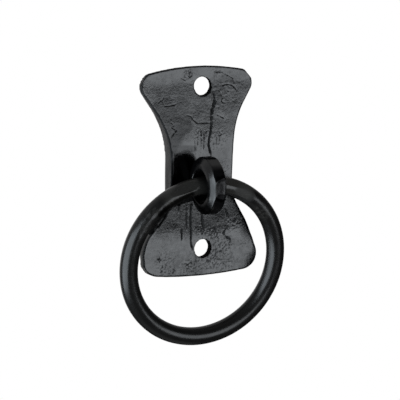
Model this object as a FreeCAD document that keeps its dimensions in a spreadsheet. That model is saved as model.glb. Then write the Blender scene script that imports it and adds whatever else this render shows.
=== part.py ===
"""Forged ring pull handle: a waisted back plate, a riveted eye and the ring that hangs in it.

Millimetres, +Z up. The back of the plate lies on the XZ plane and the front looks along -Y. The origin
is on the back of the plate, midway between the two screw holes.
"""

import FreeCAD, Part

import math
import os

import Sketcher

# Driving dimensions: name, value, what it measures
SIZES = [
    ("waist_width", 21.9, "width of the plate at its waist"),
    ("waist_centre", -1.75, "middle of the waist, sideways from the line of the screw holes"),
    ("waist_thickness", 5.2, "thickness of the plate at its waist"),
    ("top_width", 40.2, "width of the upper flare"),
    ("top_centre", -1.9, "middle of the upper flare, sideways from the line of the screw holes"),
    ("top_corner_height", 27.25, "height of the upper corner arcs' centres"),
    ("top_corner_radius", 4.3, "radius of the upper corners"),
    ("top_flare_angle", 34.0, "angle of the upper flare from the vertical, degrees"),
    ("top_flare_radius", 31.0, "radius between the waist and the upper flare"),
    ("top_crown_radius", 84.0, "radius of the top edge"),
    ("top_tip_thickness", 1.2, "thickness of the upper flare at its tip"),
    ("top_taper_start", 8.0, "height at which the plate starts to thin upwards"),
    ("top_taper_end", 30.0, "height at which the upper tip's thickness is reached"),
    ("bottom_width", 41.2, "width of the lower flare"),
    ("bottom_centre", -0.55, "middle of the lower flare, sideways from the line of the screw holes"),
    ("bottom_corner_height", 29.3, "depth of the lower corner arcs' centres"),
    ("bottom_corner_radius", 5.5, "radius of the lower corners"),
    ("bottom_flare_angle", 27.5, "angle of the lower flare from the vertical, degrees"),
    ("bottom_flare_radius", 21.0, "radius between the waist and the lower flare"),
    ("bottom_crown_radius", 150.0, "radius of the bottom edge"),
    ("bottom_tip_thickness", 2.8, "thickness of the lower flare at its tip"),
    ("bottom_taper_start", 3.0, "depth at which the plate starts to thin downwards"),
    ("bottom_taper_end", 21.5, "depth at which the lower tip's thickness is reached"),
    ("taper_blend_radius", 35.0, "radius that blends the tapers into the waist and the tips"),
    ("plate_edge_round", 0.5, "rounding of the plate's front edges"),
    ("forging_stock", 1.0, "bar left on the front before the tapers are drawn down"),
    ("screw_hole_spacing", 53.0, "distance between the screw holes"),
    ("screw_hole_diameter", 5.9, "diameter of the screw holes"),
    ("eye_side", -4.3, "sideways place of the eye from the line of the screw holes"),
    ("eye_height", -3.6, "height of the eye's middle"),
    ("eye_across_flats", 18.4, "distance across opposite hammered flats of the eye"),
    ("eye_width", 6.1, "width of the eye between its flat sides"),
    ("eye_rim_width", 3.9, "width of the eye's rim"),
    ("eye_side_slope", 25.0, "angle by which the eye's sides slope in towards its rim, degrees"),
    ("eye_shoulder_round", 2.5, "rounding where the eye's sides start to slope"),
    ("eye_bore", 10.4, "diameter of the hole in the eye"),
    ("eye_bore_back", 0.1, "how far the hole lies behind the eye's middle"),
    ("eye_bore_drop", 0.25, "how far the hole lies below the eye's middle"),
    ("eye_corner_round", 5.5, "rounding between the hammered flats"),
    ("eye_edge_round", 0.6, "rounding of the eye's outer edges"),
    ("eye_bore_round", 0.7, "rounding of the hole's edges"),
    ("tenon_diameter", 4.0, "diameter of the eye's tenon"),
    ("rivet_head_diameter", 7.0, "diameter of the tenon's riveted end"),
    ("rivet_head_angle", 90.0, "angle of the riveted end's cone, degrees"),
    ("tenon_clearance", 0.05, "gap all round the tenon"),
    ("ring_bar", 5.9, "diameter of the ring's bar"),
    ("ring_mean_diameter", 51.75, "diameter of the ring at the middle of its bar"),
    ("ring_seat_gap", 0.5, "gap between the bar and the rear of the eye's hole"),
    ("ring_shift", 1.15, "sideways shift of the resting ring from the eye"),
    ("ring_lean", 8.75, "how far the resting ring leans in towards the wall, degrees"),
    ("ring_turn", -2.65, "how far the resting ring is turned about the vertical, degrees"),
]
SIZE = {name: value for name, value, _ in SIZES}
EYE_FLATS = 12
SAME_PLACE = 1e-6

doc = FreeCAD.newDocument("ring_pull")
sheet = doc.addObject("Spreadsheet::Sheet", "Sizes")
for row, (name, value, meaning) in enumerate(SIZES, 1):
    sheet.set(f"A{row}", meaning)
    sheet.set(f"B{row}", str(value))
    sheet.setAlias(f"B{row}", name)
doc.recompute()


def new_body(label):
    """Start a sub-part whose label names its file."""
    body = doc.addObject("PartDesign::Body", label)
    body.Label = label
    return body


def new_sketch(body, plane, name):
    """Put a sketch on one of the body's own origin planes."""
    sketch = body.newObject("Sketcher::SketchObject", name)
    support = next(item for item in body.Origin.OriginFeatures if item.Role == plane)
    sketch.AttachmentSupport = [(support, "")]
    sketch.MapMode = "FlatFace"
    return sketch


def drive(sketch, kind, *places, by, unit=""):
    """Add a dimension to a sketch and tie it to the sheet."""
    value = sketch.evalExpression(f"({by}){unit}")
    number = value.getValueAs("rad").Value if unit else float(value)
    index = sketch.addConstraint(Sketcher.Constraint(kind, *places, number))
    sketch.setExpression(f"Constraints[{index}]", f"({by}){unit}")


def place_point(sketch, geometry, point, across, up):
    """Tie a point's distances from the sketch's origin to the sheet."""
    drive(sketch, "DistanceX", -1, 1, geometry, point, by=across)
    drive(sketch, "DistanceY", -1, 1, geometry, point, by=up)


def arc(centre, radius, start, end):
    """Arc round a centre, counterclockwise between two angles in radians."""
    circle = Part.Circle(FreeCAD.Vector(*centre, 0), FreeCAD.Vector(0, 0, 1), radius)
    return Part.ArcOfCircle(circle, start, end)


def line(start, end):
    """Straight line between two points of a sketch."""
    return Part.LineSegment(FreeCAD.Vector(*start, 0), FreeCAD.Vector(*end, 0))


def round_edges(body, name, radius, wanted):
    """Round those edges of the body's last feature that the wanted test picks."""
    doc.recompute()
    base = body.Tip
    picked = [f"Edge{i}" for i, edge in enumerate(base.Shape.Edges, 1) if wanted(edge)]
    fillet = body.newObject("PartDesign::Fillet", name)
    fillet.Base = (base, picked)
    fillet.setExpression("Radius", f"Sizes.{radius}")
    return fillet


def same(first, second):
    return abs(first - second) < SAME_PLACE


def ends(edge):
    return edge.Vertexes[0].Point, edge.Vertexes[-1].Point


def runs_along_x(edge):
    """True for an edge whose two ends differ only in x."""
    first, last = ends(edge)
    return same(first.y, last.y) and same(first.z, last.z) and not same(first.x, last.x)


class Quarter:
    """One quarter of the plate's outline: concave arc, straight flare and corner arc."""

    def __init__(self, side, end):
        self.side = side
        self.up = 1 if end == "top" else -1
        self.turn = self.side * self.up
        self.end = end
        self.radius = SIZE[f"{end}_corner_radius"]
        self.flare = math.radians(SIZE[f"{end}_flare_angle"])
        self.hollow = SIZE[f"{end}_flare_radius"]
        self.waist = SIZE["waist_centre"] + side * SIZE["waist_width"] / 2
        reach = SIZE[f"{end}_width"] / 2 - self.radius
        self.centre = (SIZE[f"{end}_centre"] + side * reach, self.up * SIZE[f"{end}_corner_height"])
        self.outward = (side * math.sin(self.flare), self.up * math.cos(self.flare))
        normal = (side * math.cos(self.flare), -self.up * math.sin(self.flare))
        self.flare_end = tuple(c + self.radius * n for c, n in zip(self.centre, normal))
        run = (self.waist - self.flare_end[0]) / self.outward[0]
        knee_height = self.flare_end[1] + run * self.outward[1]
        tangent = self.hollow * math.tan(self.flare / 2)
        self.waist_end = (self.waist, knee_height - self.up * tangent)
        self.flare_start = (self.waist + tangent * self.outward[0], knee_height + tangent * self.outward[1])

    def add(self, sketch, crown_angle):
        """Draw the quarter, tie its sizes to the sheet and join its three pieces."""
        facing = 0 if self.side > 0 else math.pi
        hollow_centre = (self.waist + self.side * self.hollow, self.waist_end[1])
        hollow_angles = sorted((facing + math.pi, facing + math.pi - self.turn * self.flare))
        corner_angles = [facing - self.turn * self.flare, crown_angle]
        if self.turn < 0:
            corner_angles.reverse()
        self.hollow_arc = sketch.addGeometry(arc(hollow_centre, self.hollow, *hollow_angles))
        self.flare_line = sketch.addGeometry(line(self.flare_start, self.flare_end))
        self.corner_arc = sketch.addGeometry(arc(self.centre, self.radius, *corner_angles))
        # Arcs run counterclockwise, so a mirrored quarter meets its neighbours at the other ends.
        self.hollow_at_flare, self.hollow_at_waist = (1, 2) if self.turn > 0 else (2, 1)
        self.corner_at_flare, self.corner_at_crown = (1, 2) if self.turn > 0 else (2, 1)
        join(sketch, self.hollow_arc, self.hollow_at_flare, self.flare_line, 1)
        join(sketch, self.flare_line, 2, self.corner_arc, self.corner_at_flare)
        drive(sketch, "Radius", self.hollow_arc, by=f"Sizes.{self.end}_flare_radius")
        drive(sketch, "Radius", self.corner_arc, by=f"Sizes.{self.end}_corner_radius")
        reach = f"(Sizes.{self.end}_width / 2 - Sizes.{self.end}_corner_radius)"
        place_point(
            sketch, self.corner_arc, 3,
            across=f"Sizes.{self.end}_centre + {self.side} * {reach}",
            up=f"{self.up} * Sizes.{self.end}_corner_height",
        )
        slope = f"{self.up} * (90 - {self.side} * Sizes.{self.end}_flare_angle)"
        drive(sketch, "Angle", self.flare_line, by=slope, unit=" * 1 deg")


def join(sketch, first, first_end, second, second_end):
    """Make two pieces of an outline meet smoothly."""
    sketch.addConstraint(Sketcher.Constraint("Tangent", first, first_end, second, second_end))


def crown_circle(left, right):
    """Centre of the edge arc that touches both corner circles from outside."""
    radius = SIZE[f"{left.end}_crown_radius"] - left.radius
    span = [b - a for a, b in zip(left.centre, right.centre)]
    half = math.hypot(*span) / 2
    drop = math.sqrt(radius ** 2 - half ** 2)
    middle = [(a + b) / 2 for a, b in zip(left.centre, right.centre)]
    return middle[0], middle[1] - left.up * drop


def angle_from(centre, point):
    return math.atan2(point[1] - centre[1], point[0] - centre[0])


def draw_outline(sketch):
    """Front view of the plate: waist lines, four flared quarters and two crowned ends."""
    waist_end = {}
    for end in ("top", "bottom"):
        left, right = Quarter(-1, end), Quarter(1, end)
        centre = crown_circle(left, right)
        angles = {quarter: angle_from(centre, quarter.centre) for quarter in (left, right)}
        for quarter in (left, right):
            quarter.add(sketch, angles[quarter])
            waist_end[quarter.side, end] = quarter
        first, last = (right, left) if left.up > 0 else (left, right)
        crown_radius = SIZE[f"{end}_crown_radius"]
        crown = sketch.addGeometry(arc(centre, crown_radius, angles[first], angles[last]))
        join(sketch, first.corner_arc, first.corner_at_crown, crown, 1)
        join(sketch, crown, 2, last.corner_arc, last.corner_at_crown)
        drive(sketch, "Radius", crown, by=f"Sizes.{end}_crown_radius")
    for side in (-1, 1):
        upper, lower = waist_end[side, "top"], waist_end[side, "bottom"]
        waist = sketch.addGeometry(line(lower.waist_end, upper.waist_end))
        join(sketch, waist, 1, lower.hollow_arc, lower.hollow_at_waist)
        join(sketch, waist, 2, upper.hollow_arc, upper.hollow_at_waist)
        sketch.addConstraint(Sketcher.Constraint("Vertical", waist))
        drive(sketch, "DistanceX", -1, 1, waist, 1, by=f"Sizes.waist_centre + {side} * Sizes.waist_width / 2")


def draw_polygon(sketch, corners, blends=None):
    """Closed outline of straight lines through corners given as pairs of sheet expressions.

    blends gives, for some corners by number, the sheet expression of the radius that rounds them.
    """
    blends = blends or {}
    points = [FreeCAD.Vector(*[float(sketch.evalExpression(text)) for text in corner]) for corner in corners]
    count = len(points)
    starts, stops = list(points), points[1:] + points[:1]
    arcs = {}
    for i, radius in blends.items():
        arcs[i], stops[i - 1], starts[i] = blend_arc(
            points[i - 1], points[i], points[(i + 1) % count], float(sketch.evalExpression(radius))
        )
    sides = [sketch.addGeometry(Part.LineSegment(*ends)) for ends in zip(starts, stops)]
    for i in range(count):
        if i not in blends:
            sketch.addConstraint(Sketcher.Constraint("Coincident", sides[i - 1], 2, sides[i], 1))
            place_point(sketch, sides[i], 1, *corners[i])
            continue
        corner = sketch.addGeometry(Part.Point(points[i]), True)
        place_point(sketch, corner, 1, *corners[i])
        for side in (sides[i - 1], sides[i]):
            sketch.addConstraint(Sketcher.Constraint("PointOnObject", corner, 1, side))
        blend = sketch.addGeometry(arcs[i])
        leftwards = arcs[i].StartPoint.isEqual(stops[i - 1], SAME_PLACE)
        first, last = (1, 2) if leftwards else (2, 1)
        join(sketch, sides[i - 1], 2, blend, first)
        join(sketch, blend, last, sides[i], 1)
        drive(sketch, "Radius", blend, by=blends[i])


def blend_arc(before, corner, after, radius):
    """Arc that rounds a corner, and the points where it touches the sides before and after it."""
    back = (before - corner).normalize()
    ahead = (after - corner).normalize()
    half = back.getAngle(ahead) / 2
    touch_back = corner + back * (radius / math.tan(half))
    touch_ahead = corner + ahead * (radius / math.tan(half))
    centre = corner + (back + ahead).normalize() * (radius / math.sin(half))
    angles = [math.atan2(touch.y - centre.y, touch.x - centre.x) for touch in (touch_back, touch_ahead)]
    if ahead.cross(back).z < 0:
        angles.reverse()
    circle = Part.Circle(centre, FreeCAD.Vector(0, 0, 1), radius)
    return Part.ArcOfCircle(circle, *angles), touch_back, touch_ahead


def add_pad(body, sketch, name, length, symmetric=False):
    """Extrude a sketch by a length from the sheet."""
    pad = body.newObject("PartDesign::Pad", name)
    pad.Profile = sketch
    pad.setExpression("Length", length)
    if symmetric:
        pad.SideType = "Symmetric"
    return pad


def add_hole(body, sketch, name, diameter):
    """Drill through the body from its back face."""
    doc.recompute()
    hole = body.newObject("PartDesign::Hole", name)
    hole.Profile = sketch
    hole.DepthType = "ThroughAll"
    hole.Reversed = True
    hole.setExpression("Diameter", diameter)
    return hole


def make_back_plate():
    """Forged plate: padded outline, drawn down to thin tips, drilled for screws and the eye's tenon."""
    body = new_body("back_plate")
    outline = new_sketch(body, "XZ_Plane", "outline")
    draw_outline(outline)
    add_pad(body, outline, "forged_bar", "Sizes.waist_thickness + Sizes.forging_stock")

    above = "Sizes.top_corner_height + Sizes.top_width"
    below = "-(Sizes.bottom_corner_height + Sizes.bottom_width)"
    front = "-(Sizes.waist_thickness + 2 * Sizes.forging_stock)"
    taper = new_sketch(body, "YZ_Plane", "front_taper")
    draw_polygon(taper, [
        ("-Sizes.top_tip_thickness", above),
        ("-Sizes.top_tip_thickness", "Sizes.top_taper_end"),
        ("-Sizes.waist_thickness", "Sizes.top_taper_start"),
        ("-Sizes.waist_thickness", "-Sizes.bottom_taper_start"),
        ("-Sizes.bottom_tip_thickness", "-Sizes.bottom_taper_end"),
        ("-Sizes.bottom_tip_thickness", below),
        (front, below),
        (front, above),
    ], blends={corner: "Sizes.taper_blend_radius" for corner in range(1, 5)})
    draw_down = body.newObject("PartDesign::Pocket", "drawn_down_ends")
    draw_down.Profile = taper
    draw_down.Type = "ThroughAll"
    draw_down.SideType = "Symmetric"

    round_edges(body, "front_edges", "plate_edge_round", is_front_rim)

    screws = new_sketch(body, "XZ_Plane", "screw_places")
    for up in (-1, 1):
        middle = FreeCAD.Vector(0, up * SIZE["screw_hole_spacing"] / 2, 0)
        circle = sketch_circle(screws, middle, "Sizes.screw_hole_diameter")
        place_point(screws, circle, 3, "0", f"{up} * Sizes.screw_hole_spacing / 2")
    add_hole(body, screws, "screw_holes", "Sizes.screw_hole_diameter")

    tenon = new_sketch(body, "XZ_Plane", "tenon_place")
    middle = FreeCAD.Vector(SIZE["eye_side"], SIZE["eye_height"], 0)
    circle = sketch_circle(tenon, middle, "Sizes.tenon_diameter")
    place_point(tenon, circle, 3, "Sizes.eye_side", "Sizes.eye_height")
    hole = add_hole(body, tenon, "tenon_hole", "Sizes.tenon_diameter + 2 * Sizes.tenon_clearance")
    hole.HoleCutType = "Countersink"
    hole.HoleCutCustomValues = True
    hole.setExpression("HoleCutDiameter", "Sizes.rivet_head_diameter + 2 * Sizes.tenon_clearance")
    hole.setExpression("HoleCutCountersinkAngle", "Sizes.rivet_head_angle")
    return body


def is_front_rim(edge):
    """True for the edges round the plate's front, apart from the lines across its face."""
    first, last = ends(edge)
    on_back = same(first.y, 0) and same(last.y, 0)
    through = same(first.x, last.x) and same(first.z, last.z)
    return not on_back and not through and not runs_along_x(edge)


def sketch_circle(sketch, middle, diameter):
    """Circle whose diameter is tied to the sheet."""
    radius = float(sketch.evalExpression(diameter)) / 2
    circle = sketch.addGeometry(Part.Circle(middle, FreeCAD.Vector(0, 0, 1), radius))
    drive(sketch, "Diameter", circle, by=diameter)
    return circle


def make_ring_eye():
    """Closed eye with hammered flats round its rim, on a tenon that is riveted behind the plate."""
    body = new_body("ring_eye")
    body.setExpression("Placement.Base.x", "Sizes.eye_side")
    body.setExpression("Placement.Base.z", "Sizes.eye_height")
    outward = "-(Sizes.waist_thickness + Sizes.eye_across_flats / 2)"
    profile = new_sketch(body, "YZ_Plane", "eye_profile")
    draw_flats(profile, outward)
    add_pad(body, profile, "eye", "Sizes.eye_width", symmetric=True)
    for side in (-1, 1):
        slope_side(body, side, outward)

    round_edges(body, "flat_corners", "eye_corner_round", is_flat_corner)
    round_edges(body, "outer_edges", "eye_edge_round", is_on_rim)
    round_edges(body, "bore_edges", "eye_bore_round", is_bore_edge)
    round_edges(body, "shoulders", "eye_shoulder_round", is_shoulder)

    rivet = new_sketch(body, "YZ_Plane", "tenon_profile")
    neck = "Sizes.tenon_diameter / 2"
    head = "Sizes.rivet_head_diameter / 2"
    rear_limb = "((Sizes.eye_across_flats - Sizes.eye_bore) / 2 - Sizes.eye_bore_back)"
    root = f"-(Sizes.waist_thickness + {rear_limb} / 2)"
    head_depth = f"-({head} - {neck}) / tan(Sizes.rivet_head_angle / 2 * 1 deg)"
    draw_polygon(rivet, [(root, "0"), ("0", "0"), ("0", head), (head_depth, neck), (root, neck)])
    turned = body.newObject("PartDesign::Revolution", "riveted_tenon")
    turned.Profile = rivet
    turned.ReferenceAxis = (rivet, ["H_Axis"])
    return body


def eye_middle():
    """Middle of the eye in its own frame."""
    return FreeCAD.Vector(0, -(SIZE["waist_thickness"] + SIZE["eye_across_flats"] / 2), 0)


def is_on_rim(edge):
    """True for an edge that starts on the hammered flats or beyond them."""
    offset = edge.Vertexes[0].Point - eye_middle()
    return math.hypot(offset.y, offset.z) > SIZE["eye_across_flats"] / 2 - SAME_PLACE


def is_flat_corner(edge):
    """True for an edge between two hammered flats."""
    return runs_along_x(edge) and is_on_rim(edge)


def is_bore_edge(edge):
    """True for the two circles round the eye's hole."""
    return edge.isClosed() and same(edge.Curve.Radius, SIZE["eye_bore"] / 2)


def shoulder_radius():
    """Radius at which the eye's sides start to slope."""
    run = (SIZE["eye_width"] - SIZE["eye_rim_width"]) / 2 / math.tan(math.radians(SIZE["eye_side_slope"]))
    return SIZE["eye_across_flats"] / 2 - run


def is_shoulder(edge):
    """True for the two circles where the eye's sides start to slope."""
    return edge.isClosed() and same(edge.Curve.Radius, shoulder_radius())


def slope_side(body, side, outward):
    """Turn one side of the eye down, from its shoulder to its narrower rim."""
    sketch = new_sketch(body, "XY_Plane", "left_slope" if side < 0 else "right_slope")
    face = f"{side} * Sizes.eye_width / 2"
    slope = "tan(Sizes.eye_side_slope * 1 deg)"
    shoulder = f"{outward} - Sizes.eye_across_flats / 2 + (Sizes.eye_width - Sizes.eye_rim_width) / 2 / {slope}"
    beyond = f"{outward} - Sizes.eye_across_flats / 2 - Sizes.eye_rim_width / 2"
    tip = f"{side} * Sizes.eye_rim_width / 2 * (1 - {slope})"
    corners = [(face, shoulder), (face, beyond), (tip, beyond)]
    draw_polygon(sketch, corners)
    middle = eye_middle().y
    axis = sketch.addGeometry(line((-SIZE["eye_width"], middle), (SIZE["eye_width"], middle)), True)
    place_point(sketch, axis, 1, "-Sizes.eye_width", outward)
    place_point(sketch, axis, 2, "Sizes.eye_width", outward)
    turned = body.newObject("PartDesign::Groove", "left_side" if side < 0 else "right_side")
    turned.Profile = sketch
    turned.ReferenceAxis = (sketch, ["Axis0"])


def draw_flats(sketch, outward):
    """Side view of the eye: a regular polygon of hammered flats round a bore."""
    centre = eye_middle()
    corner_radius = f"Sizes.eye_across_flats / 2 / cos({180 / EYE_FLATS} deg)"
    radius = float(sketch.evalExpression(corner_radius))
    steps = [2 * math.pi * (i + 0.5) / EYE_FLATS for i in range(EYE_FLATS)]
    points = [(centre.y + radius * math.cos(step), radius * math.sin(step)) for step in steps]
    guide = sketch_circle(sketch, FreeCAD.Vector(centre.y, 0, 0), f"2 * {corner_radius}")
    sketch.toggleConstruction(guide)
    middle = FreeCAD.Vector(centre.y + SIZE["eye_bore_back"], -SIZE["eye_bore_drop"], 0)
    bore = sketch_circle(sketch, middle, "Sizes.eye_bore")
    sides = [sketch.addGeometry(line(points[i], points[(i + 1) % EYE_FLATS])) for i in range(EYE_FLATS)]
    for i, side in enumerate(sides):
        sketch.addConstraint(Sketcher.Constraint("Coincident", side, 2, sides[(i + 1) % EYE_FLATS], 1))
        sketch.addConstraint(Sketcher.Constraint("PointOnObject", side, 1, guide))
        if i:
            sketch.addConstraint(Sketcher.Constraint("Equal", sides[0], side))
    # The last side is the flat that seats on the plate.
    sketch.addConstraint(Sketcher.Constraint("Vertical", sides[-1]))
    place_point(sketch, guide, 3, outward, "0")
    place_point(sketch, bore, 3, f"{outward} + Sizes.eye_bore_back", "-Sizes.eye_bore_drop")


def make_pull_ring():
    """Ring of round bar, drawn round the point where it hangs in the eye and then leant to its rest."""
    body = new_body("pull_ring")
    section = new_sketch(body, "YZ_Plane", "bar_section")
    circle = sketch_circle(section, FreeCAD.Vector(0, 0, 0), "Sizes.ring_bar")
    section.addConstraint(Sketcher.Constraint("Coincident", circle, 3, -1, 1))
    depth = SIZE["ring_mean_diameter"] / 2
    axis = section.addGeometry(line((-SIZE["ring_bar"], -depth), (SIZE["ring_bar"], -depth)), True)
    place_point(section, axis, 1, "-Sizes.ring_bar", "-Sizes.ring_mean_diameter / 2")
    place_point(section, axis, 2, "Sizes.ring_bar", "-Sizes.ring_mean_diameter / 2")
    ring = body.newObject("PartDesign::Revolution", "ring")
    ring.Profile = section
    ring.ReferenceAxis = (section, ["Axis0"])

    body.setExpression("Placement.Base.x", "Sizes.eye_side + Sizes.ring_shift")
    hole = "-(Sizes.waist_thickness + Sizes.eye_across_flats / 2) + Sizes.eye_bore_back"
    play = "(Sizes.eye_bore - Sizes.ring_bar) / 2 - Sizes.ring_seat_gap"
    body.setExpression("Placement.Base.y", f"{hole} + {play}")
    body.setExpression("Placement.Base.z", "Sizes.eye_height - Sizes.eye_bore_drop")
    rest = "rotation(vector(0; 0; 1); Sizes.ring_turn) * rotation(vector(1; 0; 0); Sizes.ring_lean)"
    body.setExpression("Placement.Rotation", rest)
    return body


bodies = [make_back_plate(), make_ring_eye(), make_pull_ring()]
doc.recompute()
faulty = [item.Label for item in doc.Objects if {"Invalid", "Error"} & set(item.State)]
faulty += [body.Label for body in bodies if body.Shape.isNull() or not body.Shape.isValid()]
if faulty:
    raise RuntimeError(f"these came out faulty: {faulty}")
os.makedirs("parts", exist_ok=True)
for body in bodies:
    body.Shape.exportStep(f"parts/{body.Label}.step")
    box = body.Shape.BoundBox
    print(f"{body.Label}: {box.XLength:.2f} x {box.YLength:.2f} x {box.ZLength:.2f} mm, "
          f"{body.Shape.Volume:.1f} mm3, {len(body.Shape.Solids)} solid")
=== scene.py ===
# %% [markdown]
# A hand-forged ring pull: a waisted back plate, an eye that is riveted into it, and a ring that hangs in
# the eye. The frame brings the three pieces at their real size. This lesson gives them the skin that a
# hammer, a fire and a coat of black leave on iron, and then a camera, a plain studio and a floor.

# %% Load the frame
import math

import bpy
import numpy as np
from mathutils import Matrix, Vector, noise


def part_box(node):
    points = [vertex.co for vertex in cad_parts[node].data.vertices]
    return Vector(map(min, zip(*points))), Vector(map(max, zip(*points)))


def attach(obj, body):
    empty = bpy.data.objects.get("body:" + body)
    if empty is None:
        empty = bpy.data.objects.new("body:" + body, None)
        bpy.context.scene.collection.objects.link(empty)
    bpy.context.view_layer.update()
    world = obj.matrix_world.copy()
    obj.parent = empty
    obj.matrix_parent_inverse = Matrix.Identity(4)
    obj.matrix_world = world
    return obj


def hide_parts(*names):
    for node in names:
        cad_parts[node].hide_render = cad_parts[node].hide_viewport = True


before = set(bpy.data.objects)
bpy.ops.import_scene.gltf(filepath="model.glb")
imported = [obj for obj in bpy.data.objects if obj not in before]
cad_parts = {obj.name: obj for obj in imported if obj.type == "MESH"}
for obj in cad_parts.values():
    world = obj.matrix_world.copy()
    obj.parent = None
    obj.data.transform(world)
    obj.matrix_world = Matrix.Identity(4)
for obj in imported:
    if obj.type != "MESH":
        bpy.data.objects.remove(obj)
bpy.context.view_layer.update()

MM = 0.001

# %% [markdown]
# The camera comes first, because the marks on the iron are read off the photograph: a pixel and the
# camera's ray give the place on the plate. The view is a long lens from the left, a little above. Its
# place is worked out from the pixel where the frame's origin is seen.

# %% Camera at the photograph's angle
IMAGE_PIXELS = 400
VIEW_AZIMUTH = math.radians(-27)
VIEW_ELEVATION = math.radians(10)
VIEW_ROLL = math.radians(0.456)
VIEW_DISTANCE = 0.8
PIXELS_PER_METRE = 3083
ORIGIN_PIXEL = (199.63, 166.71)
SENSOR_MM = 36

focal_pixels = PIXELS_PER_METRE * VIEW_DISTANCE
flat = math.cos(VIEW_ELEVATION)
view_back = Vector((flat * math.sin(VIEW_AZIMUTH), -flat * math.cos(VIEW_AZIMUTH), math.sin(VIEW_ELEVATION)))
level = Vector((math.cos(VIEW_AZIMUTH), math.sin(VIEW_AZIMUTH), 0))
upright = view_back.cross(level)
view_right = level * math.cos(VIEW_ROLL) + upright * math.sin(VIEW_ROLL)
view_up = upright * math.cos(VIEW_ROLL) - level * math.sin(VIEW_ROLL)
aside, below = [(pixel - IMAGE_PIXELS / 2) / PIXELS_PER_METRE for pixel in ORIGIN_PIXEL]
view_place = view_back * VIEW_DISTANCE - view_right * aside + view_up * below

bpy.ops.object.camera_add()
camera = bpy.context.object
turn = Matrix((view_right, view_up, view_back)).transposed().to_4x4()
camera.matrix_world = Matrix.Translation(view_place) @ turn
camera.data.sensor_width = SENSOR_MM
camera.data.lens = focal_pixels / IMAGE_PIXELS * SENSOR_MM
bpy.context.scene.camera = camera
print("camera at", tuple(view_place), "lens", round(camera.data.lens, 1), "mm")


# %% From a pixel to a point
def seen_at(piece, pixel):
    """Point of a piece that the photograph shows at a pixel, and the way the surface faces there."""
    across = (pixel[0] - IMAGE_PIXELS / 2) / focal_pixels
    down = (pixel[1] - IMAGE_PIXELS / 2) / focal_pixels
    ray = view_right * across - view_up * down - view_back
    hit, point, facing, _ = piece.ray_cast(view_place, ray)
    if not hit:
        raise ValueError(f"{piece.name} isn't at pixel {pixel}")
    return point, facing


# %% [markdown]
# The plate and the eye each start as a copy of their own node, so their size and place are the node's. A
# node is loose long triangles, which can't be dented, so its doubles are merged and a voxel remesh gives
# it an even skin of small quads. Later steps press and crack that skin like real iron.

# %% Helpers for shaping
WELD = 1e-6


def alone(piece):
    """Make one piece the only selected object, and the active one."""
    bpy.ops.object.select_all(action="DESELECT")
    piece.select_set(True)
    bpy.context.view_layer.objects.active = piece


def apply_modifier(piece, kind, name, **settings):
    """Add a modifier with its settings and apply it."""
    alone(piece)
    modifier = piece.modifiers.new(name, kind)
    for setting, value in settings.items():
        setattr(modifier, setting, value)
    bpy.ops.object.modifier_apply(modifier=name)


def iron_blank(node, name, quad):
    """Copy a node into a new piece whose skin is made of even quads: quad in millimetres."""
    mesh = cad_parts[node].data.copy()
    mesh.materials.clear()
    piece = bpy.data.objects.new(name, mesh)
    bpy.context.collection.objects.link(piece)
    alone(piece)
    bpy.ops.object.mode_set(mode="EDIT")
    bpy.ops.mesh.select_all(action="SELECT")
    bpy.ops.mesh.remove_doubles(threshold=WELD)
    bpy.ops.object.mode_set(mode="OBJECT")
    apply_modifier(piece, "REMESH", "even_skin", mode="VOXEL", voxel_size=quad * MM)
    apply_modifier(piece, "SMOOTH", "soften", factor=0.5, iterations=3)
    alone(piece)
    bpy.ops.object.shade_smooth()
    print(name, "has", len(mesh.vertices), "points")
    return piece


# %% Blanks of the plate and the eye
PLATE_QUAD, EYE_QUAD = 0.28, 0.15
plate = iron_blank("back_plate", "forged_plate", PLATE_QUAD)
eye = iron_blank("ring_eye", "forged_eye", EYE_QUAD)

# %% [markdown]
# The ring is one length of round bar that was bent and welded. It is made again as a torus, because rows
# of quads that run along the bar give a long highlight without a ripple. Its centre, axis and radii are
# measured on the node's points: the axis is the direction in which they spread least.

# %% Measure the ring
BAR_ROUNDING = 0.015 * MM
ring_low, ring_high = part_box("pull_ring")
ring_centre = (ring_low + ring_high) / 2
offsets = np.array([v.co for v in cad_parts["pull_ring"].data.vertices]) - np.array(ring_centre)
ring_axis = Vector(np.linalg.svd(offsets, full_matrices=False)[2][2])
if ring_axis.y > 0:
    ring_axis.negate()
along = offsets @ np.array(ring_axis)
radii = np.sqrt((offsets ** 2).sum(1) - along ** 2)
ring_radius = (radii.max() + radii.min()) / 2
bar_radius = (radii.max() - radii.min()) / 2 + BAR_ROUNDING
print("ring radius", ring_radius, "bar radius", bar_radius, "axis", tuple(ring_axis))

# %% Ring blank
SEGMENTS_ROUND_RING, SEGMENTS_ROUND_BAR = 720, 96
bpy.ops.object.select_all(action="DESELECT")
bpy.ops.mesh.primitive_torus_add(
    location=ring_centre, rotation=ring_axis.to_track_quat("Z", "Y").to_euler(),
    major_radius=ring_radius, minor_radius=bar_radius,
    major_segments=SEGMENTS_ROUND_RING, minor_segments=SEGMENTS_ROUND_BAR)
ring = bpy.context.object
ring.name = "hanging_ring"
bpy.ops.object.transform_apply(location=True, rotation=True, scale=True)
bpy.ops.object.shade_smooth()
print("hanging_ring has", len(ring.data.vertices), "points")

# %% [markdown]
# A smith spreads a plate by eye, so no two of its edges match: the lower left flare is much fuller than
# the right one, and the waist and the corners swell or shrink a little. A lattice could do this, but a
# sideways push that is strongest at the edge and fades towards the middle is easier to place.


# %% Hand-spread edges
def displace(piece, name, weights, strength, direction="NORMAL"):
    """Move each point along a direction by a strength in millimetres times its own weight."""
    group = piece.vertex_groups.new(name=name)
    for index, weight in weights.items():
        group.add([index], weight, "REPLACE")
    apply_modifier(piece, "DISPLACE", name, direction=direction, strength=strength * MM, mid_level=0,
                   vertex_group=name)
    piece.vertex_groups.remove(piece.vertex_groups[name])


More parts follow.
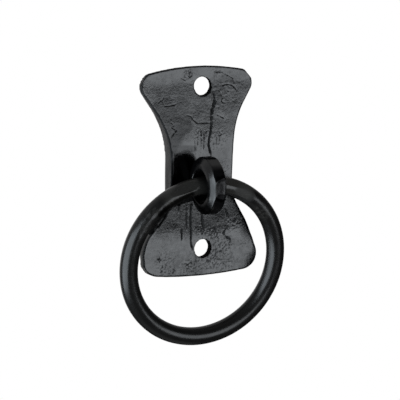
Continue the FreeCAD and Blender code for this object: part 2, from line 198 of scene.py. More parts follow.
def bulge(piece, name, pixel, side, height, reach, push):
    """Push the edge near a pixel out to the left, side -1, or the right, side 1: sizes in millimetres."""
    middle, _ = seen_at(piece, pixel)
    weights = {}
    for vertex in piece.data.vertices:
        rise = (vertex.co.z - middle.z) / (height * MM)
        inward = side * (middle.x - vertex.co.x) / (reach * MM)
        if abs(rise) < 1 and inward < 1:
            weights[vertex.index] = (1 - rise ** 2) ** 2 * (1 - max(0, inward))
    displace(piece, name, weights, side * push, "X")


# Pixel, side, half height, reach and push.
BULGES = {"lower_left_flare": ((152, 240), -1, 8.5, 9, 1.9), "right_waist": ((229, 155), 1, 16, 6, 0.45),
          "lower_right_flare": ((243, 222), 1, 8.5, 8, 0.7),
          "lower_left_corner": ((150, 270), -1, 3.5, 5, 0.5),
          "lower_right_corner": ((249, 250), 1, 5, 5, -0.4)}
for name, values in BULGES.items():
    bulge(plate, name, *values)
print(len(BULGES), "edges spread, left edge at", min(v.co.x for v in plate.data.vertices))

# %% [markdown]
# Forge scale cracks and folds as the smith spreads the bar. Each mark is a line of pixels on the
# photograph that is carried to the plate, and the skin near the line is pushed in. A bump map would be
# lighter, but it has no shadow and no edge. Noise makes width and depth uneven, as in a real tear.

# %% Marks of the upper plate, in pixels
UPPER_MARKS = {
    "long_crack": [(213.8, 91), (215, 101), (213.1, 107.5), (211.3, 115), (211.5, 122.5)],
    "long_crack_end": [(211.5, 122.5), (211, 130), (209.4, 137.5), (208.8, 145), (209.6, 150),
                       (211.6, 155.5)],
    "fold": [(187.5, 115), (191, 116), (193.8, 120), (197.5, 123), (205, 123), (210.5, 122.5)],
    "left_arc": [(163.5, 97.5), (162, 101), (165, 106), (170, 105.6), (176.3, 103.8), (182.5, 101.3)],
    "left_zigzag": [(171.9, 122.5), (173.8, 125), (172.3, 127.5), (176.3, 130.6), (173.8, 133.8),
                    (171.3, 136.9)],
    "left_tick": [(158.5, 102.5), (161, 100)],
    "top_curl": [(186.5, 72), (187.5, 75), (190.5, 77), (193, 74.5), (190.5, 71), (188.5, 73)],
    "top_ticks": [(181, 77.5), (183, 79), (186, 80)],
    "top_right_arc": [(222.5, 84.6), (227.5, 83.8), (232.5, 85), (235.6, 88), (237.5, 91)],
    "top_right_tear": [(213.8, 71), (217, 72), (221, 71.3), (227.5, 75), (232.5, 77.5), (234, 81)],
    "right_tear": [(219, 90), (221, 93), (222.5, 97), (221.5, 101), (225, 103)],
    "right_tick": [(217.5, 114.5), (220.5, 116), (223.5, 117.5)],
    "diamond": [(219.5, 131.5), (221.5, 133.5), (219.8, 135), (218.4, 133.3)]}
print(len(UPPER_MARKS), "upper marks read")

# %% Marks of the waist and the lower plate, in pixels
WAIST_MARKS = {
    "waist_line_0": [(201, 127), (201.4, 140), (201.3, 155)],
    "waist_line_1": [(204.6, 128), (204.2, 140), (203.6, 153)],
    "waist_line_2": [(195, 138), (195.6, 155)],
    "waist_line_3": [(198, 130), (197.8, 147)],
    "waist_line_4": [(206.4, 126), (206, 138)],
    "left_edge": [(145.8, 95.8), (151.7, 105.8), (160, 118.3), (165.8, 130), (169.7, 141.7), (171.7, 153.3),
                  (172.5, 166.7), (173, 181)]}
LOWER_MARKS = {
    "low_left_groove": [(191.2, 205), (190.9, 214), (190.5, 221.4), (190.9, 228.6), (191.1, 235.7),
                        (190.9, 241.4), (191.4, 245.7), (193, 250)],
    "low_side_groove": [(181.6, 230), (181.9, 235.7), (181.8, 240.7)],
    "low_middle_groove": [(201.9, 214.5), (202.3, 221.4), (203.4, 227), (204.6, 231)],
    "low_outer_groove": [(179.4, 206), (178.7, 213)],
    "low_thin_groove": [(186.9, 206), (186.6, 218.6), (186.8, 230)],
    "low_curl": [(209.5, 232), (210.5, 229.2), (213.5, 228.2), (216, 230), (216.5, 233)],
    "low_curl_inside": [(211.8, 234), (213.2, 231.4), (215, 233.5)],
    "low_right_curl": [(226.6, 229), (223.6, 233.6), (226, 237), (230, 239), (231, 242.5)],
    "low_right_ticks": [(237, 218.6), (235, 222), (231, 221.4)],
    "low_thin_line": [(225, 209.3), (228.7, 218.6)],
    "low_tear": [(185.9, 266.4), (190.5, 263.2), (190.9, 265.7)]}
print(len(WAIST_MARKS), "waist marks and", len(LOWER_MARKS), "lower marks read")


# %% Distance from a line of pixels
FRONT_FACING = -0.4


def reach_of(piece, pixels):
    """Each point's distance from a line of pixels, seen from the front, and whether it's on the front."""
    path = np.array([seen_at(piece, pixel)[0] for pixel in pixels])[:, [0, 2]]
    count = len(piece.data.vertices)
    points, normals = np.empty(count * 3), np.empty(count * 3)
    piece.data.vertices.foreach_get("co", points)
    piece.data.vertices.foreach_get("normal", normals)
    points = points.reshape(-1, 3)[:, [0, 2]]
    reach = np.full(count, np.inf)
    for start, end in zip(path, path[1:]):
        way = end - start
        share = np.clip((points - start) @ way / (way @ way), 0, 1)
        reach = np.minimum(reach, np.hypot(*(points - start - share[:, None] * way).T))
    return reach, normals.reshape(-1, 3)[:, 1] < FRONT_FACING


# %% Finer quads along the marks
FINE_BAND = 0.7


def refine(piece, lines, width):
    """Split the quads near the lines, so that a crack has enough points for its sides."""
    near = [np.where(front, reach, np.inf) for reach, front in (reach_of(piece, line) for line in lines)]
    piece.data.vertices.foreach_set("select", np.min(near, axis=0) < width * MM)
    alone(piece)
    bpy.ops.object.mode_set(mode="EDIT")
    bpy.ops.mesh.select_mode(type="VERT")
    bpy.ops.mesh.subdivide(number_cuts=1)
    bpy.ops.object.mode_set(mode="OBJECT")


refine(plate, [*UPPER_MARKS.values(), *WAIST_MARKS.values(), *LOWER_MARKS.values()], FINE_BAND)
print("plate now has", len(plate.data.polygons), "faces")


# %% Layers of numbers on the points
def layer(piece, name):
    """Attribute of a piece that holds one number for each point."""
    return piece.data.attributes.get(name) or piece.data.attributes.new(name, "FLOAT", "POINT")


def note(piece, mark, values):
    """Raise the numbers of a layer to the values that are given for some points."""
    noted = layer(piece, mark)
    for index, value in values.items():
        noted.data[index].value = max(noted.data[index].value, value)


def press(piece, name, weights, depth, mark, shade):
    """Push the skin in by a depth in millimetres times each point's weight, and shade a layer likewise."""
    displace(piece, name, weights, -depth)
    note(piece, mark, {index: shade * weight for index, weight in weights.items()})


# %% Carving
COARSE_TEAR, FINE_TEAR, FINE_SHARE = 1.3 * MM, 0.5 * MM, 0.6
NARROWEST, SHALLOWEST, MEAN_DEPTH = 0.3, 0.2, 0.8
TIP_DEPTH, TIP_LENGTH = 0.3, 2
SIDE_STEEPNESS = 1.5


def carve(piece, name, pixels, depth, width, ragged, shade):
    """Crack the skin along a line of pixels: depth and half width in millimetres."""
    reach, front = reach_of(piece, pixels)
    tips = [seen_at(piece, pixel)[0] for pixel in (pixels[0], pixels[-1])]
    weights = {}
    for index in np.nonzero(front & (reach < 3 * width * MM))[0]:
        spot = piece.data.vertices[index].co
        rough = noise.noise(spot / COARSE_TEAR) + FINE_SHARE * noise.noise(spot / FINE_TEAR)
        half = width * MM * max(NARROWEST, 1 + ragged * rough)
        end = min((spot - tip).length for tip in tips) / MM
        uneven = min(1, max(SHALLOWEST, MEAN_DEPTH + ragged * rough)) * min(1, TIP_DEPTH + end / TIP_LENGTH)
        weights[int(index)] = math.exp(-(reach[index] / half) ** SIDE_STEEPNESS) * uneven
    press(piece, name, weights, depth, "crack", shade)


# Depth, half width, raggedness and dullness: a common cut for each part of the plate, and special ones.
UPPER_CUT, WAIST_CUT, LOWER_CUT = (0.12, 0.14, 0.9, 0.22), (0.10, 0.12, 0.9, 0.3), (0.2, 0.16, 0.8, 0.6)
SPECIAL_CUTS = {"long_crack": (0.35, 0.22, 0.8, 0.6), "long_crack_end": (0.5, 0.18, 0.4, 1.0),
                "fold": (0.16, 0.14, 0.5, 0.35), "left_arc": (0.08, 0.12, 0.9, 0.14),
                "left_edge": (0.08, 0.13, 0.5, 0.6), "low_left_groove": (0.45, 0.19, 0.4, 1.0),
                "low_side_groove": (0.3, 0.17, 0.5, 1.0), "low_middle_groove": (0.3, 0.17, 0.5, 1.0)}
for marks, common_cut in ((UPPER_MARKS, UPPER_CUT), (WAIST_MARKS, WAIST_CUT), (LOWER_MARKS, LOWER_CUT)):
    for name, pixels in marks.items():
        carve(plate, name, pixels, *SPECIAL_CUTS.get(name, common_cut))
    print(len(marks), "marks carved")

# %% [markdown]
# Between the cracks the plate isn't smooth either. Hammer blows leave broad shallow dents, and scale that
# burns off in the fire leaves patches of fine pits. The dents follow a cloud texture all over a piece. The
# pits are placed patch by patch, where the photograph shows them. Both are pressed in, never out.


# %% Hammer dents
def hammer(piece, name, size, depth, seed):
    """Press broad dents into a piece with a cloud texture: size and depth in millimetres."""
    clouds = bpy.data.textures.new(name, "CLOUDS")
    clouds.noise_scale = size * MM
    clouds.noise_depth = 1
    bpy.ops.object.empty_add(location=(seed * MM, 0, 0))
    place = bpy.context.object
    apply_modifier(piece, "DISPLACE", name, texture=clouds, texture_coords="OBJECT",
                   texture_coords_object=place, strength=depth * MM, mid_level=1)
    bpy.data.objects.remove(place)
    print(piece.name, "hammered")


hammer(plate, "hammer_blows", size=6, depth=0.14, seed=3)

# %% Pits
# Dimension and lacunarity of the noise, what is added to it, and how far a point's facing may turn away.
RUGGED, PIT_SHARE, SAME_SIDE = (0.9, 2.1), 0.3, 0.2


def pit(piece, name, pixel, radius, depth, grain):
    """Eat a ragged patch of pits into the skin round a pixel: sizes in millimetres."""
    centre, facing = seen_at(piece, pixel)
    weights = {}
    for vertex in piece.data.vertices:
        away = (vertex.co - centre).length / (radius * MM)
        if away < 1 and vertex.normal.dot(facing) > SAME_SIDE:
            ragged = noise.fractal(vertex.co / (grain * MM), *RUGGED, 3)
            weights[vertex.index] = max(0, min(1, (PIT_SHARE + ragged) * (1 - away ** 2)))
    press(piece, name, weights, depth, "scale", 1.0)


# Pixel, radius, depth and grain.
PLATE_PITS = {"beside_crack": ((218, 100), 7.5, 0.025, 0.9), "above_fold": ((200, 112), 5, 0.03, 0.8),
              "top_middle": ((192, 74), 6, 0.04, 0.8), "top_right": ((230, 84), 6.5, 0.025, 0.9),
              "left_flare": ((172, 100), 6, 0.015, 0.9), "centre_facet": ((200, 141), 4.5, 0.035, 0.5),
              "waist": ((216, 140), 6.5, 0.04, 0.7), "over_low_hole": ((203, 229), 3.4, 0.10, 0.7),
              "curls": ((214, 233), 4, 0.08, 0.7), "low_right": ((222, 246), 7, 0.08, 0.9),
              "low_foot": ((212, 262), 6, 0.08, 0.9), "low_left": ((176, 256), 6, 0.04, 0.9),
              "low_edge": ((232, 224), 4, 0.06, 0.8)}
for name, values in PLATE_PITS.items():
    pit(plate, name, *values)
print(len(PLATE_PITS), "pitted patches on the plate")

# %% [markdown]
# A few square blows leave flats: a broad one on the plate's left side, and one on each struck corner. A
# boolean would cut them with a sharp rim, so a plane is set across the spot instead, and a Shrinkwrap
# lays the skin on it with weights that fade outwards. The last blow turned the lower right edge up.


# %% Flat on the left side
def face_way(azimuth, elevation):
    """Direction of an azimuth and an elevation in degrees: azimuth 0 is straight out of the plate."""
    a, e = math.radians(azimuth), math.radians(elevation)
    return Vector((math.sin(a) * math.cos(e), -math.cos(a) * math.cos(e), math.sin(e)))


def beat_flat(piece, pixel, azimuth, elevation, radius, depth):
    """Beat a flat that faces a given way into the skin round a pixel: sizes in millimetres."""
    centre, _ = seen_at(piece, pixel)
    normal = face_way(azimuth, elevation)
    near = [v for v in piece.data.vertices
            if (v.co - centre).length < radius * MM and v.normal.dot(normal) > SAME_SIDE]
    level = centre + normal * (max((v.co - centre).dot(normal) for v in near) - depth * MM)
    bpy.ops.mesh.primitive_plane_add(size=4 * radius * MM, location=level,
                                     rotation=normal.to_track_quat("Z", "Y").to_euler())
    hammer_face = bpy.context.object
    group = piece.vertex_groups.new(name="struck")
    for vertex in near:
        if (vertex.co - level).dot(normal) > 0:
            fade = (vertex.co - centre).length / (radius * MM)
            group.add([vertex.index], 1 - fade ** 3, "REPLACE")
    apply_modifier(piece, "SHRINKWRAP", "strike", target=hammer_face, vertex_group="struck")
    piece.vertex_groups.remove(piece.vertex_groups["struck"])
    bpy.data.objects.remove(hammer_face)
    print(piece.name, "flat beaten at", pixel)


beat_flat(plate, (172, 125), azimuth=-3, elevation=-8, radius=9, depth=0.6)

# %% Turned-up edge
FRONT_SKIN, LIFT_CURVE = -0.1, 1.5


def turn_up(piece, pixel, height, reach, rise):
    """Lift the right edge near a pixel towards the front: height, reach and rise in millimetres."""
    middle, _ = seen_at(piece, pixel)
    levels = {v.index: (v.co.z - middle.z) / (height * MM)
              for v in piece.data.vertices if v.normal.y < FRONT_SKIN}
    edge = max(piece.data.vertices[index].co.x for index, level in levels.items() if abs(level) < 1)
    weights = {}
    for index, level in levels.items():
        inward = (edge - piece.data.vertices[index].co.x) / (reach * MM)
        if abs(level) < 1 and inward < 1:
            weights[index] = (1 - level ** 2) ** 2 * (1 - inward) ** LIFT_CURVE
    displace(piece, "turn_up", weights, -rise, "Y")
    print(piece.name, "edge turned up by", rise, "mm")


turn_up(plate, (250, 247), height=7, reach=6, rise=0.65)

# %% Struck corners
beat_flat(plate, (145, 269), azimuth=-90, elevation=-36, radius=7, depth=0.3)
beat_flat(plate, (246, 75), azimuth=90, elevation=40, radius=7, depth=0.5)
beat_flat(plate, (144, 80), azimuth=-90, elevation=33, radius=7, depth=0.4)

# %% [markdown]
# The black isn't even. Where scale or rough iron lies under it, it is dull, and it is mottled in places.
# Painted shade goes in the screw holes, on the left facet and under the ring, with the painted shadow and
# reflection of
# the eye and the ring on the plate. Layers of numbers on the points hold this, because they follow the
# marks:
# crack for dull, scale for worn, and a black layer for mottles and painted shade.


# %% Stains and strips
SPOT_SHARE, SPOT_CONTRAST = 0.4, 1.6


def stain(piece, mark, pixel, radius, strength, edge=1, grain=None):
    """Mark the coat round a pixel, evenly or in spots of a grain: radius and grain in millimetres.

    A higher edge makes the stain end more sharply.
    """
    centre, facing = seen_at(piece, pixel)
    values = {}
    for vertex in piece.data.vertices:
        away = (vertex.co - centre).length / (radius * MM)
        if away < 1 and vertex.normal.dot(facing) > SAME_SIDE:
            spots = 1
            if grain:
                spots = SPOT_SHARE + SPOT_CONTRAST * noise.fractal(vertex.co / (grain * MM), *RUGGED, 2)
            values[vertex.index] = strength * max(0, min(1, spots)) * min(1, edge * (1 - away ** 2))
    note(piece, mark, values)


def darken_strip(piece, pixels, width, strength):
    """Darken a strip of the front along a line of pixels with the black layer: half width in millimetres."""
    reach, front = reach_of(piece, pixels)
    note(piece, "soot_and_painted_shade", {int(index): strength * min(1, 2 * (1 - (reach[index] / (width * MM)) ** 2))
                         for index in np.nonzero(front & (reach < width * MM))[0]})


# %% Edges and screw holes
EDGE_FACING, WALL_FACING = (-0.85, -0.1), 0.9


def dull_edges(piece, strength):
    """Dull the rounded edges that lie between the front of a piece and its sides."""
    low, high = EDGE_FACING
    note(piece, "crack", {v.index: strength for v in piece.data.vertices if low < v.normal.y < high})


def shade_bore_wall(piece, height, radius):
    """Dull the wall of the screw hole at a height and paint shade on it: sizes in millimetres."""
    wall = {v.index: 1.0 for v in piece.data.vertices
            if math.hypot(v.co.x, v.co.z - height * MM) < radius * MM and abs(v.normal.y) < WALL_FACING}
    for mark in ("crack", "soot_and_painted_shade"):
        note(piece, mark, wall)


HOLE_HEIGHTS, HOLE_RADIUS, RIM_SHARE = (26.5, -26.5), 2.95, 1.1
dull_edges(plate, strength=0.5)
# Painted shade on the walls of the screw holes.
for height in HOLE_HEIGHTS:
    shade_bore_wall(plate, height, RIM_SHARE * HOLE_RADIUS)
print("edges dulled and", len(HOLE_HEIGHTS), "screw holes blackened")

# %% Dull spots on the plate
SPOT_GRAIN = 0.55
# Pixel, radius and strength.
DULL_SPOTS = [((188, 225), 5, 0.3), ((203, 228), 4, 0.62), ((214, 232), 4, 0.5), ((222, 246), 5.5, 0.35),
              ((211, 258), 5.5, 0.4), ((197, 264), 4, 0.3), ((163, 270), 2, 0.5), ((172, 271), 2, 0.5),
              ((159, 260), 1.5, 0.7), ((214, 97), 3, 0.3), ((220, 104), 3.5, 0.2), ((203, 112), 4, 0.14),
              ((188, 74), 2.5, 0.4), ((217, 74), 4, 0.25), ((216, 140), 6, 0.28), ((224, 168), 5, 0.24),
              ((162, 238), 9, 0.14), ((165, 262), 7, 0.24), ((190, 268), 6, 0.3), ((226, 262), 6, 0.28),
              ((241, 244), 5, 0.18)]
for pixel, radius, strength in DULL_SPOTS:
    stain(plate, "crack", pixel, radius, strength, grain=SPOT_GRAIN)
print(len(DULL_SPOTS), "dull spots on the plate")

# %% Painted shade, shadow and reflection on the plate, and black mottles
# Pixel, radius, strength and edge.
# The first two spots are the painted reflection of the eye on the plate, left of the eye; the third is a
# darker spot.
PLATE_BLACK_AND_REFLECTION = [((184, 169), 5.6, 0.86, 3), ((179, 182), 4.5, 0.86, 3), ((183, 107), 3.5, 0.28, 1.5)]
# Painted shadow and reflection of the ring on the plate, beside its inner edge; the spots are dulled as
# well.
RING_SHADOW_SPOTS = [(163, 215), (159, 220), (155, 226), (151.5, 231.5)]
# Pixel, radius, strength and grain of mottled black.
MOTTLES = [((168, 240), 9, 0.16, 0.7), ((190, 264), 7, 0.28, 1.2), ((230, 258), 7, 0.22, 1.2),
           ((215, 160), 6, 0.16, 1.2), ((222, 90), 7, 0.26, 1.2)]
# Line of pixels, half width and strength of a darkened strip: painted shade on the left facet and at its
# foot, the painted reflection of the eye over it, a darker band over the fold, and the painted shadow and
# reflection of the ring beside its inner edge.
STRIPS = {"left_facet": ([(164, 108), (171, 118), (176, 127), (173, 137), (172, 146)], 4.2, 0.34),
          "facet_foot": ([(187, 126.5), (182, 129), (178, 134), (176, 139), (173.5, 144), (172.5, 149)],
                         2.3, 0.48),
          "over_eye": ([(180, 148.5), (194, 149)], 1.3, 0.33),
          "over_fold": ([(194, 113.5), (207, 114)], 3, 0.16),
          "behind_ring": ([(195, 198), (186, 200.5), (180, 202.5), (172, 205), (166, 210.5), (161, 216),
                           (154.5, 225)], 1.0, 0.95)}
for values in PLATE_BLACK_AND_REFLECTION:
    stain(plate, "soot_and_painted_shade", *values)
for pixel, radius, strength, grain in MOTTLES:
    stain(plate, "soot_and_painted_shade", pixel, radius, strength, edge=2, grain=grain)
for pixel in RING_SHADOW_SPOTS:
    for mark in ("crack", "soot_and_painted_shade"):
        stain(plate, mark, pixel, radius=1.5, strength=0.95, edge=2)
for pixels, width, strength in STRIPS.values():
    darken_strip(plate, pixels, width, strength)
print(len(MOTTLES), "mottles and", len(STRIPS), "black strips on the plate")

# %% [markdown]
# The eye was closed and dressed on the anvil, which left two broad flats: one on its left side, and one on
# its rim, where a short patch catches the light. Painted shade ends that patch, darkens the lower rim of the
# eye and dims a highlight on its left side. The same helpers are used as for the plate, because the iron was
# worked in the same way.

# %% Hammered eye
beat_flat(eye, (199, 166), azimuth=-55, elevation=4, radius=5, depth=0.3)
beat_flat(eye, (220, 186), azimuth=10, elevation=0, radius=8, depth=0.7)
hammer(eye, "eye_blows", size=3, depth=0.08, seed=11)
# Pixel, radius, strength and edge.
# Painted shade on the eye: its lower rim, a band that dims the highlight on its left side, and the ends of
# the lit flat on its rim.
EYE_PAINTED_SHADE = [((196, 203), 3, 0.85, 1.5), ((201, 207.5), 3, 0.85, 1.5), ((207, 210), 3, 0.85, 1.5),
             ((210, 190), 3.2, 0.35, 1.5), ((219.6, 198), 1.35, 0.85, 3), ((222, 198.5), 1.6, 0.85, 3),
             ((219, 179.5), 1.2, 0.75, 3), ((223, 178.5), 1.2, 0.75, 3)]
for values in EYE_PAINTED_SHADE:
    stain(eye, "soot_and_painted_shade", *values)
print(len(EYE_PAINTED_SHADE), "black patches on the eye")

# %% [markdown]
# The ring is rubbed smooth by hands, but near the eye it keeps the flats of the hammer and a brownish,
# worn coat, and its sides keep some pits. Its underside beside the eye gets painted shade. A picture
# could hold these stains, but numbers on the points need no unwrapping and stay put as the ring swings.

# %% Hammered and rubbed ring
# Pixel, radius, depth and grain.
RING_PITS = {"ring_left_pits": ((146, 230), 3.2, 0.12, 0.7), "ring_high_pits": ((152, 214), 3, 0.06, 0.8),
             "ring_right_pits": ((262, 212), 4, 0.05, 0.8)}
# Painted shade along the underside of the ring beside the eye.
RING_UNDERSIDE_SHADE = [(191, 195), (186, 197), (181, 199.5), (176, 202), (171, 205), (166, 209), (161, 213.5)]
beat_flat(ring, (184, 194), azimuth=-14, elevation=30, radius=6, depth=0.6)
beat_flat(ring, (166, 205), azimuth=-20, elevation=-6, radius=5.5, depth=0.3)
beat_flat(ring, (231, 185), azimuth=15, elevation=40, radius=6, depth=0.4)
hammer(ring, "ring_blows", size=9, depth=0.06, seed=23)
for name, values in RING_PITS.items():
    pit(ring, name, *values)
stain(ring, "scale", (184, 192), radius=8, strength=0.6, edge=2)
stain(ring, "scale", (233, 184), radius=9, strength=1.0, edge=2)
stain(ring, "crack", (245, 194), radius=4.5, strength=0.32, edge=2)
for pixel in RING_UNDERSIDE_SHADE:
    stain(ring, "soot_and_painted_shade", pixel, radius=1.5, strength=0.9, edge=2)
print(len(RING_PITS), "pitted patches on the ring")

# %% [markdown]
# The finish is one coat of satin black over scale. A shared node group makes its grain: fine bumps, worn
# patches that are a little greyer, and a gloss that changes from place to place. Each piece then sets how
# dark and how rough its own coat is. A painted texture could do it, but noise has no seams.

# %% Shared skin of the black coat
PATCHES_PER_METRE, GRAINS_PER_METRE = 240, 1300
WORN_SPECKS, SPECK_DULLNESS, DULLEST = 0.22, 0.7, 0.95
SPECK_RANGE, CRACK_RANGE, WORN_RANGE = (0.52, 0.68), (0.08, 0.5), (0.4, 0.7)
GLOSS_RANGE, BUMP_RANGE = (0.35, 0.65), (0.3, 0.7)


def make_skin():
    """Node group whose outputs are the coat's colour, roughness and height."""
    tree = bpy.data.node_groups.new("black_coat", "ShaderNodeTree")
    for name, kind in (("Black", "Color"), ("Worn", "Color"), ("Smooth", "Float"), ("Rough", "Float"),
                       ("Specks", "Float"), ("Crack", "Float"), ("Scale", "Float")):
        tree.interface.new_socket(name, in_out="INPUT", socket_type="NodeSocket" + kind)
    for name, kind in (("Colour", "Color"), ("Roughness", "Float"), ("Height", "Float")):
        tree.interface.new_socket(name, in_out="OUTPUT", socket_type="NodeSocket" + kind)
    nodes, link = tree.nodes, tree.links.new
    taken, given = nodes.new("NodeGroupInput").outputs, nodes.new("NodeGroupOutput").inputs
    coords = nodes.new("ShaderNodeTexCoord")

    def put(source, socket):
        if isinstance(source, (int, float)):
            socket.default_value = source
        else:
            link(source, socket)

    def cloud(per_metre, detail, rough):
        texture = nodes.new("ShaderNodeTexNoise")
        for socket, value in (("Scale", per_metre), ("Detail", detail), ("Roughness", rough)):
            texture.inputs[socket].default_value = value
        link(coords.outputs["Object"], texture.inputs["Vector"])
        return texture.outputs["Fac"]

    def spread(value, low, high, to_low, to_high):
        ramp = nodes.new("ShaderNodeMapRange")
        for socket, source in (("Value", value), ("From Min", low), ("From Max", high), ("To Min", to_low),
                               ("To Max", to_high)):
            put(source, ramp.inputs[socket])
        return ramp.outputs["Result"]

    def count(operation, first, second):
        sum_node = nodes.new("ShaderNodeMath")
        sum_node.operation = operation
        sum_node.use_clamp = True
        put(first, sum_node.inputs[0])
        put(second, sum_node.inputs[1])
        return sum_node.outputs[0]

    patches = cloud(PATCHES_PER_METRE, detail=5, rough=0.65)
    grain = cloud(GRAINS_PER_METRE, detail=3, rough=0.7)
    speckled = spread(taken["Scale"], 0, 0.5, taken["Specks"], WORN_SPECKS)
    specks = count("MULTIPLY", spread(grain, *SPECK_RANGE, 0, 1), speckled)
    cracked = spread(taken["Crack"], *CRACK_RANGE, 0, 1)
    dull = count("MAXIMUM", cracked, count("MULTIPLY", specks, SPECK_DULLNESS))
    worn = count("ADD", spread(patches, *WORN_RANGE, 0, taken["Specks"]), taken["Scale"])
    colour = nodes.new("ShaderNodeMix")
    colour.data_type = "RGBA"
    link(worn, colour.inputs["Factor"])
    link(taken["Black"], colour.inputs["A"])
    link(taken["Worn"], colour.inputs["B"])
    link(colour.outputs["Result"], given["Colour"])
    gloss = spread(patches, *GLOSS_RANGE, taken["Smooth"], taken["Rough"])
    link(spread(dull, 0, 1, gloss, DULLEST), given["Roughness"])
    link(spread(grain, *BUMP_RANGE, 1, 0), given["Height"])
    print(tree.name, "has", len(nodes), "nodes")
    return tree


skin = make_skin()


# %% Coats
def black_coat(piece, black, worn, smooth, rough, specks, bump, shine):
    """Give a piece its own coat: two colours, a range of roughness, specks and a height of grain in mm."""
    material = bpy.data.materials.new(piece.name + "_coat")
    material.use_nodes = True
    nodes, link = material.node_tree.nodes, material.node_tree.links.new
    shader = nodes["Principled BSDF"]
    shader.inputs["Specular IOR Level"].default_value = shine
    coat = nodes.new("ShaderNodeGroup")
    coat.node_tree = skin
    for socket, value in (("Black", (*black, 1)), ("Worn", (*worn, 1)), ("Smooth", smooth), ("Rough", rough),
                          ("Specks", specks)):
        coat.inputs[socket].default_value = value
    # The black layer holds mottles and painted shade, shadow and reflection: it feeds Metallic, and a black
    # metal reflects next to nothing, so it puts the coat's shine out.
    for mark, socket in (("crack", coat.inputs["Crack"]), ("scale", coat.inputs["Scale"]),
                         ("soot_and_painted_shade", shader.inputs["Metallic"])):
        layer(piece, mark)
        marks = nodes.new("ShaderNodeAttribute")
        marks.attribute_name = mark
        link(marks.outputs["Fac"], socket)
    relief = nodes.new("ShaderNodeBump")
    relief.inputs["Distance"].default_value = bump * MM
    link(coat.outputs["Colour"], shader.inputs["Base Color"])
    link(coat.outputs["Roughness"], shader.inputs["Roughness"])
    link(coat.outputs["Height"], relief.inputs["Height"])
    link(relief.outputs["Normal"], shader.inputs["Normal"])
    piece.data.materials.append(material)


black_coat(plate, black=(0.0008, 0.0008, 0.0009), worn=(0.006, 0.006, 0.0065), smooth=0.12, rough=0.28,
           specks=0.14, bump=0.02, shine=0.5)
black_coat(eye, black=(0.0008, 0.0008, 0.001), worn=(0.002, 0.002, 0.0022), smooth=0.20, rough=0.26,
           specks=0.0, bump=0.004, shine=0.4)
black_coat(ring, black=(0.005, 0.0047, 0.0045), worn=(0.024, 0.023, 0.021), smooth=0.22, rough=0.30,
           specks=0.02, bump=0.004, shine=0.3)
print("three coats made")

# %% [markdown]
# The studio is what the coat reflects: a large soft box at the left, another in front on the right, a
# white backdrop behind and a dim room all round. The camera sees only white behind the iron. The room and
# the backdrop are made in the world, because smooth ramps have no edges that would show in the shine. A
# pale floor lies so far below that no shadow falls into the picture.

# %% World
world = bpy.data.worlds.new("studio")
bpy.context.scene.world = world
world.use_nodes = True
nodes, links = world.node_tree.nodes, world.node_tree.links
coords = nodes.new("ShaderNodeTexCoord")


def glow(way, low, high, to_low, to_high):
    """Strength that rises smoothly as a ray turns towards a way."""
    toward = nodes.new("ShaderNodeVectorMath")
    toward.operation = "DOT_PRODUCT"
    toward.inputs[1].default_value = way
    links.new(coords.outputs["Generated"], toward.inputs[0])
    ramp = nodes.new("ShaderNodeMapRange")
    ramp.interpolation_type = "SMOOTHSTEP"
    for socket, value in (("From Min", low), ("From Max", high), ("To Min", to_low), ("To Max", to_high)):
        ramp.inputs[socket].default_value = value
    links.new(toward.outputs["Value"], ramp.inputs["Value"])
    return ramp.outputs["Result"]


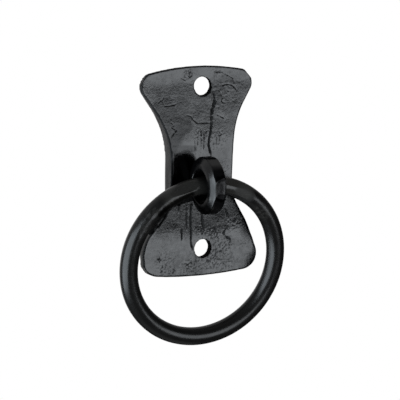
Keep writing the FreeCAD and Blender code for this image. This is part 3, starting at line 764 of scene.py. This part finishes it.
# %% Dim room, backdrop and white ground
ROOM_LOW, ROOM_HIGH = 0.03, 0.5
ROOM_BRIGHT_WAY = (-0.1, 0.77, 0.63)
BACKDROP_AZIMUTH = math.radians(-178)
BACKDROP_EDGE, BACKDROP_FULL = math.radians(34), math.radians(5)
backdrop_way = (math.sin(BACKDROP_AZIMUTH), -math.cos(BACKDROP_AZIMUTH), 0)
room = nodes.new("ShaderNodeMath")
room.operation = "MAXIMUM"
links.new(glow(ROOM_BRIGHT_WAY, 0, 1, ROOM_LOW, ROOM_HIGH), room.inputs[0])
links.new(glow(backdrop_way, math.cos(BACKDROP_EDGE), math.cos(BACKDROP_FULL), 0, 1), room.inputs[1])
white = nodes.new("ShaderNodeMix")
white.data_type = "FLOAT"
links.new(nodes.new("ShaderNodeLightPath").outputs["Is Camera Ray"], white.inputs["Factor"])
links.new(room.outputs[0], white.inputs[2])
white.inputs[3].default_value = 1.0
background = nodes["Background"]
background.inputs["Color"].default_value = (1, 1, 1, 1)
links.new(white.outputs[0], background.inputs["Strength"])
print("world made with", len(nodes), "nodes")


# %% Soft boxes
def softbox(name, azimuth, elevation, distance, width, height, radiance, colour):
    """Area light that faces the plate: metres and degrees."""
    way = face_way(azimuth, elevation)
    bpy.ops.object.light_add(type="AREA", location=way * distance)
    lamp = bpy.context.object
    lamp.name = name
    lamp.rotation_euler = way.to_track_quat("Z", "Y").to_euler()
    lamp.data.shape = "RECTANGLE"
    lamp.data.size, lamp.data.size_y = width, height
    lamp.data.energy = radiance * math.pi * width * height
    lamp.data.color = colour
    lamp.visible_camera = False
    print(name, "gives", round(lamp.data.energy, 2), "W")


softbox("left_softbox", azimuth=-76, elevation=-13, distance=0.7, width=0.90, height=0.84, radiance=5.7,
        colour=(0.84, 0.93, 1.0))
softbox("front_softbox", azimuth=21, elevation=-4.5, distance=0.9, width=0.66, height=0.57, radiance=3.95,
        colour=(0.91, 0.955, 1.0))

# %% Floor
FLOOR_DEPTH, FLOOR_WIDTH, FLOOR_PALE = 2.2, 1.6, 0.8
bpy.ops.mesh.primitive_plane_add(size=FLOOR_WIDTH, location=(0, 0, -FLOOR_DEPTH))
floor = bpy.context.object
floor.name = "pale_floor"
bpy.ops.object.transform_apply(location=True, rotation=True, scale=True)
paper = bpy.data.materials.new("pale_paper")
paper.use_nodes = True
paper_shader = paper.node_tree.nodes["Principled BSDF"]
paper_shader.inputs["Base Color"].default_value = (*[FLOOR_PALE] * 3, 1)
paper_shader.inputs["Roughness"].default_value = 1.0
floor.data.materials.append(paper)
bpy.context.scene.view_settings.view_transform = "Standard"
print("studio ready")

# %% [markdown]
# Each finished piece now takes the place of its node and rides on the node's body, so that the ring still
# swings in the eye.

# %% Hand over
for piece, node, body in ((plate, "back_plate", "mounting"), (eye, "ring_eye", "mounting"),
                          (ring, "pull_ring", "ring")):
    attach(piece, body)
    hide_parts(node)
